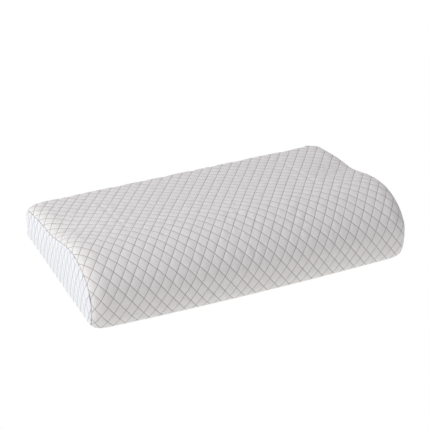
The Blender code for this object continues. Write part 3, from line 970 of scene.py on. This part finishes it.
def bandPiece(name, stops, layerPair, ripple=0.0):
    us = np.concatenate([stops, stops[::-1]])
    depths = np.repeat(layerPair, len(stops))
    loops = [skinAt(u, vInside, depth + ripple * np.sin(vInside * 2 * np.pi / 0.0044 + k), inside["pullIn"])
             for k, (u, depth) in enumerate(zip(us, depths))]
    return outwards(addGrid(name, loops, us, vInside, True, True, around))


print("liner, seams and foam")
linerRun = float(np.interp(math.radians(form["linerSeamAngle"] - 0.6), endAngles, endRuns))
linerStops = np.concatenate([-straight - np.linspace(linerRun, 0, 9)[:-1], np.linspace(-straight, straight, 61),
                             straight + np.linspace(0, linerRun, 9)[1:]])
linerSleeve = bandPiece("linerSleeve", linerStops, layers["liner"])
finishPiece(linerSleeve, linerKnit, "liner_knit", "liner_sleeve")
for word, side in (("Left", -1), ("Right", 1)):
    panel = makePanel("linerEnd" + word, side, endLattice, (0.0, 0.5), (0.0,), layers["liner"],
                      form["linerSeamAngle"] + 0.6, 0.0, 0.0, 300)
    finishPiece(panel, linerKnit, "liner_knit", "liner_end_" + word.lower())
    low, high = (float(np.interp(math.radians(a), endAngles, endRuns)) for a in inside["allowanceAngles"])
    stops = side * (straight + np.linspace(low, high, 7))
    seam = bandPiece("seamAllowance" + word, stops, layers["allowance"], inside["ripple"])
    finishPiece(seam, overlock, "thread", "seam_" + word.lower())


def makeFoam():
    # the two flat ends with their roundings, and the wall between them on the same ring of points
    ringPoints = 300
    top, faces, cloth, ring, along = panelSkin(endLattice, (0.0, 0.5), layers["core"], 60.0, 6, ringPoints,
                                               0.0, 0.0)
    mirrored = top * np.array([-1, 1, 1])
    count = len(top)
    rimInset = float(endPlace(math.pi / 2, layers["core"])[1])
    rim = outlineAt(np.full(len(rim0), rimInset), np.arange(len(rim0), dtype=float))
    lengths = np.concatenate([[0], np.cumsum(np.hypot(*np.diff(rim, axis=0).T))])
    v = np.interp(np.interp(along * lengths[-1], lengths, np.arange(len(lengths))), np.arange(len(runs)), runs)
    run = float(np.interp(math.radians(60.0), endAngles, endRuns))
    stops = np.concatenate([straight + np.linspace(run, 0, 7)[1:], np.linspace(straight, -straight, 41)[1:],
                            -straight - np.linspace(0, run, 7)[1:-1]])
    wall = [skinAt(u, v, layers["core"], inside["pullIn"]) for u in stops]
    loops = [list(ring)]
    for k in range(len(wall)):
        loops.append([2 * count + k * ringPoints + c for c in range(ringPoints)])
    loops.append([count + c for c in ring])
    allFaces = list(faces) + [[count + k for k in f[::-1]] for f in faces]
    for a, b in zip(loops, loops[1:]):
        for c in range(ringPoints):
            d = (c + 1) % ringPoints
            allFaces.append([a[c], b[c], b[d], a[d]])
    return outwards(addPiece("foamCore", np.vstack([top, mirrored] + wall), allFaces))


foamCore = finishPiece(makeFoam(), foam, "foam", "foam_core")


zipSizes = {
    "tapeHalf": tapeBox[1].x, "coilHalf": coilBox[1].x, "pitch": 0.00125, "wire": 0.00021,
    "stitchPitch": 0.0026, "stitchLength": 0.0021, "stitchWidth": 0.0005,
}
tapeFace = form["depth"] / 2 - layers["tape"][0] - form["pullIn"]
coverFace = form["depth"] / 2 - form["pullIn"]
zipZ = form["zipHeight"]


def makeTape(word, side):
    # woven tape with a thicker inner edge that carries the teeth
    heights = np.array([0.0009, 0.0012, 0.0018, 0.0028, 0.0034, 0.0048, 0.0065, 0.0085, 0.0105, 0.0117, 0.0120])
    bead = 0.00012 * np.exp(-((heights - 0.0014) / 0.0006) ** 2)
    x = np.linspace(-zipSizes["tapeHalf"], zipSizes["tapeHalf"], 215)
    z = zipZ + side * np.concatenate([heights, heights[::-1]])
    deep = np.concatenate([np.full(len(heights), layers["tape"][0]), (layers["tape"][1] + bead)[::-1]])
    loops = []
    for place in x:
        yz = np.stack([form["depth"] / 2 - deep, z], 1)
        loops.append(settle(np.full(len(z), place), yz, form["pullIn"]))
    piece = addGrid("zipTape" + word, loops, x, z, False, True)
    capEnds(piece, len(x), len(z))
    return outwards(piece)


def tubeRows(path, widths, heights, sides):
    # rings of a flattened tube along a path in the YZ plane; widths run along X
    path = np.asarray(path)
    along = np.gradient(path, axis=0)
    along /= np.linalg.norm(along, axis=1)[:, None]
    across = np.stack([-along[:, 1], along[:, 0]], 1)
    rings = []
    for p, n, w, h in zip(path, across, widths, heights):
        a = np.arange(sides) * 2 * np.pi / sides + np.pi / sides
        rings.append(np.stack([w * np.cos(a), p[0] + n[0] * h * np.sin(a), p[1] + n[1] * h * np.sin(a)], 1))
    return rings


def repeated(name, rings, starts, leanX=None):
    # many copies of one small capped tube, as one piece
    sides = len(rings[0])
    unit = np.vstack(rings)
    if leanX is not None:
        unit[:, 0] += np.repeat(leanX, sides)
    faces = []
    for r in range(len(rings) - 1):
        for c in range(sides):
            d = (c + 1) % sides
            faces.append([r * sides + c, r * sides + d, (r + 1) * sides + d, (r + 1) * sides + c])
    faces.append(list(range(sides))[::-1])
    faces.append([(len(rings) - 1) * sides + c for c in range(sides)])
    points = (unit[None] + np.asarray(starts)[:, None]).reshape(-1, 3)
    every = [[k * len(unit) + p for p in f] for k in range(len(starts)) for f in faces]
    return outwards(addPiece(name, points, every))


def makeCoil(word, side):
    # each tooth goes out over the top to its head at the middle and back underneath
    path = [(0.00130, 0.0026), (0.00136, 0.0012), (0.00118, 0.00046), (0.00070, 0.00046), (0.00050, 0.0012),
            (0.00046, 0.0026)]
    path = [(tapeFace + y, zipZ + side * z) for y, z in path]
    wire = zipSizes["wire"]
    rings = tubeRows(path, [wire, wire, wire * 1.5, wire * 1.5, wire, wire],
                     [wire, wire, wire * 0.8, wire * 0.8, wire, wire], 6)
    shift = 0.0 if side > 0 else zipSizes["pitch"] / 2
    places = np.arange(-zipSizes["coilHalf"] + 0.0006, zipSizes["coilHalf"] - 0.0008, zipSizes["pitch"]) + shift
    lean = np.linspace(0, -0.35 * zipSizes["pitch"], len(rings))
    return repeated("zipCoil" + word, rings, [(x, 0, 0) for x in places], lean)


def makeStitches(word, side):
    length, width = zipSizes["stitchLength"], zipSizes["stitchWidth"]
    rings = []
    for t in np.linspace(-1, 1, 7):
        rise = 0.00026 * math.sqrt(max(1 - t * t, 0.0)) - 0.0001
        thick = 0.4 + 0.6 * math.sqrt(max(1 - t * t, 0.0))
        a = np.arange(6) * np.pi / 3
        rings.append(np.stack([np.full(6, t * length / 2), coverFace + rise + 0.00013 * thick * np.cos(a),
                               zipZ + side * 0.0051 + width / 2 * thick * np.sin(a)], 1))
    places = np.arange(-zipSizes["tapeHalf"] + 0.0015, zipSizes["tapeHalf"] - 0.0014, zipSizes["stitchPitch"])
    return repeated("zipStitch" + word, rings, [(x, 0, 0) for x in places])


print("zip")
for word, side in (("Upper", 1), ("Lower", -1)):
    low = word.lower()
    finishPiece(makeTape(word, side), tapeCloth, "zip_tape", "zip_tape_" + low)
    finishPiece(makeCoil(word, side), nylon, "zip_coil", "zip_coil_" + low)
    finishPiece(makeStitches(word, side), thread, "thread", "zip_stitch_" + low)


def applied(piece, kind, **values):
    mod = piece.modifiers.new(kind.title(), kind)
    for label, value in values.items():
        setattr(mod, label, value)
    bpy.context.view_layer.objects.active = piece
    bpy.ops.object.modifier_apply(modifier=mod.name)
    return piece


def block(name, low, high, bevel=0.0, segments=3):
    # a box between two corners with rounded edges
    bpy.ops.object.select_all(action="DESELECT")
    middle = [(a + b) / 2 for a, b in zip(low, high)]
    bpy.ops.mesh.primitive_cube_add(size=1, location=middle, scale=[b - a for a, b in zip(low, high)])
    piece = bpy.context.object
    piece.name = piece.data.name = name
    bpy.ops.object.transform_apply(location=True, rotation=True, scale=True)
    if bevel:
        applied(piece, "BEVEL", width=bevel, segments=segments, limit_method="ANGLE")
    return piece


def combine(piece, other, operation="UNION"):
    applied(piece, "BOOLEAN", operation=operation, object=other, solver="EXACT")
    mesh = other.data
    bpy.data.objects.remove(other)
    bpy.data.meshes.remove(mesh)
    return piece


def raiseFace(piece, axis, inset, lift):
    # insets the face that looks along +axis and lifts it, for a shallow dome
    bpy.ops.object.select_all(action="DESELECT")
    piece.select_set(True)
    bpy.context.view_layer.objects.active = piece
    for polygon in piece.data.polygons:
        polygon.select = polygon.normal[axis] > 0.999 and polygon.area > 1e-6
    bpy.ops.object.mode_set(mode="EDIT")
    bpy.ops.mesh.select_mode(type="FACE")
    bpy.ops.mesh.inset(thickness=inset)
    bpy.ops.transform.translate(value=[lift if k == axis else 0 for k in range(3)])
    bpy.ops.object.mode_set(mode="OBJECT")
    return piece


def shadeByAngle(piece, degrees=35):
    bpy.ops.object.select_all(action="DESELECT")
    piece.select_set(True)
    bpy.context.view_layer.objects.active = piece
    bpy.ops.object.shade_smooth_by_angle(angle=math.radians(degrees))
    return piece


def makeSlider():
    low, high = sliderBox
    middle = (low.x + high.x) / 2
    plate = tapeFace + 0.0020
    body = block("zipSlider", (low.x, plate, zipZ - 0.0036), (high.x, plate + 0.0010, zipZ + 0.0036), 0.0004)
    raiseFace(body, 1, 0.0012, 0.00025)
    parts = [block("under", (low.x + 0.0002, tapeFace - 0.0017, zipZ - 0.0035),
                   (high.x - 0.0002, tapeFace - 0.0008, zipZ + 0.0035), 0.0003),
             block("post", (high.x - 0.0030, tapeFace - 0.0012, zipZ - 0.0002),
                   (high.x - 0.0006, plate + 0.0004, zipZ + 0.0002))]
    for side in (-1, 1):
        z = sorted((zipZ + side * 0.0029, zipZ + side * 0.0037))
        parts.append(block("flange", (low.x + 0.0004, tapeFace + 0.0006, z[0]),
                           (high.x - 0.0004, plate + 0.0006, z[1]), 0.0002))
    bridge = block("bridge", (middle - 0.0022, plate + 0.0004, zipZ - 0.0007),
                   (middle + 0.0022, high.y, zipZ + 0.0007), 0.0005)
    opening = block("opening", (middle - 0.0012, plate + 0.0012, zipZ - 0.002),
                    (middle + 0.0012, high.y - 0.0007, zipZ + 0.002), 0.0004)
    parts.append(combine(bridge, opening, "DIFFERENCE"))
    for part in parts:
        combine(body, part)
    return shadeByAngle(body)


def makePull():
    low, high = pullBox
    tab = block("zipPull", tuple(low), tuple(high), 0.00035)
    mid = (low.y + high.y) / 2
    window = block("window", (high.x - 0.0050, low.y - 0.001, zipZ - 0.0012),
                   (high.x - 0.0010, high.y + 0.001, zipZ + 0.0012), 0.0004)
    combine(tab, window, "DIFFERENCE")
    for face in (-1, 1):
        y = sorted((mid + face * 0.00032, mid + face * 0.002))
        for k in range(5):
            x = low.x + 0.0035 + k * 0.0016
            groove = block("groove", (x - 0.0003, y[0], zipZ - 0.0017),
                           (x + 0.0003, y[1], zipZ + 0.0017), 0.0001, 1)
            combine(tab, groove, "DIFFERENCE")
    return shadeByAngle(tab)


def makeStop(name, node, groove):
    low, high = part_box(node)
    stop = block(name, tuple(low), tuple(high), 0.00035)
    if groove:
        x = (low.x + high.x) / 2
        cut = block("cut", (x - 0.0002, high.y - 0.0002, low.z - 0.001),
                    (x + 0.0002, high.y + 0.001, high.z + 0.001))
        combine(stop, cut, "DIFFERENCE")
    return shadeByAngle(stop)


finishPiece(makeSlider(), zinc, "zip_metal", "zip_slider", body="slider")
finishPiece(makePull(), zinc, "zip_metal", "zip_pull", body="pull")
for word in ("Upper", "Lower"):
    node = "zip_top_stop_" + word.lower()
    finishPiece(makeStop("zipTopStop" + word, node, True), zinc, "zip_metal", node)
finishPiece(makeStop("zipBottomStop", "zip_bottom_stop", True), zinc, "zip_metal", "zip_bottom_stop")


# A blank care label, sewn into the right-hand seam
label = {"thickness": 0.00035, "lift": 0.0011, "curl": 0.0016, "fromAngle": 62.0, "low": 15.4, "high": 25.7}


def makeLabel():
    v0, v1 = (float(np.interp(pointsTo("shoulder") + label[k], np.arange(len(runs)), runs))
              for k in ("low", "high"))
    reach = float(np.interp(math.radians(label["fromAngle"]), endAngles, endRuns))
    us = straight + np.linspace(reach, 0, 40)
    vs = np.linspace(v0, v1, 16)
    free = np.linspace(0, 1, 40)
    loops = []
    for u, f in zip(us, free):
        wave = label["curl"] * f ** 3 * (0.6 + 0.4 * np.cos((vs - v0) / (v1 - v0) * np.pi))
        tuck = 0.0011 * (1 - smooth(f / 0.12))
        out = skinAt(u, vs, -(label["lift"] - tuck + wave))
        back = skinAt(u, vs[::-1], -(label["lift"] - tuck + wave[::-1] + label["thickness"]))
        loops.append(np.vstack([out, back]))
    piece = addGrid("careLabel", loops, us, np.concatenate([vs, vs[::-1]]), False, True)
    capEnds(piece, len(loops), len(loops[0]))
    return outwards(piece)


print("label")
careLabel = finishPiece(makeLabel(), satin, "label_satin", "care_label")


def addLights():
    def area(name, place, size, power, colour):
        light = bpy.data.lights.new(name, "AREA")
        light.shape, light.size, light.energy, light.color = "SQUARE", size, power, colour
        lamp = bpy.data.objects.new(name, light)
        lamp.location = place
        lamp.rotation_euler = (Vector((0, 0, 0.05)) - Vector(place)).to_track_quat("-Z", "Y").to_euler()
        bpy.context.scene.collection.objects.link(lamp)
    area("Key light", (-2.9, 0.5, 2.9), 2.6, 112, (1.0, 0.99, 1.0))


studio = {"sky": (0.400, 0.398, 0.430), "floorGlow": 1.0}


def makeStudio():
    world = bpy.data.worlds.new("Studio") if not bpy.context.scene.world else bpy.context.scene.world
    bpy.context.scene.world = world
    world.use_nodes = True
    back = world.node_tree.nodes.get("Background") or world.node_tree.nodes.new("ShaderNodeBackground")
    back.inputs["Color"].default_value = (*studio["sky"], 1.0)
    back.inputs["Strength"].default_value = 1.0
    bpy.ops.object.select_all(action="DESELECT")
    bpy.ops.mesh.primitive_plane_add(size=60, location=(0, 0, -0.0006))
    floor = bpy.context.object
    floor.name = "studioFloor"
    material, tree, shader = newMaterial("Pale floor", Roughness=0.9)
    shader.inputs["Base Color"].default_value = (0.0, 0.0, 0.0, 1.0)
    shader.inputs["Emission Color"].default_value = (1.0, 1.0, 1.0, 1.0)
    shader.inputs["Emission Strength"].default_value = studio["floorGlow"]
    shader.inputs["Specular IOR Level"].default_value = 0.0
    floor.data.materials.append(material)
    addLights()


camera = {"azimuth": -24.8989, "elevation": 30.5134, "roll": 0.56, "distance": 1 / 0.3544,
          "aim": (0, 0, 0.045), "lens": 132.9235, "shift": (-0.00026, 0.02747)}


def makeCamera():
    data = bpy.data.cameras.new("Camera")
    lens = bpy.data.objects.new("Camera", data)
    bpy.context.scene.collection.objects.link(lens)
    az, el = math.radians(camera["azimuth"]), math.radians(camera["elevation"])
    back = Vector((math.sin(az) * math.cos(el), -math.cos(az) * math.cos(el), math.sin(el)))
    lens.location = Vector(camera["aim"]) + back * camera["distance"]
    turn = back.to_track_quat("Z", "Y").to_matrix() @ Matrix.Rotation(math.radians(camera["roll"]), 3, "Z")
    lens.rotation_euler = turn.to_euler()
    data.sensor_width = 36
    data.lens = camera["lens"]
    data.shift_x, data.shift_y = camera["shift"]
    data.clip_end = 100
    bpy.context.scene.camera = lens


makeStudio()
makeCamera()
bpy.context.scene.view_settings.view_transform = "Standard"
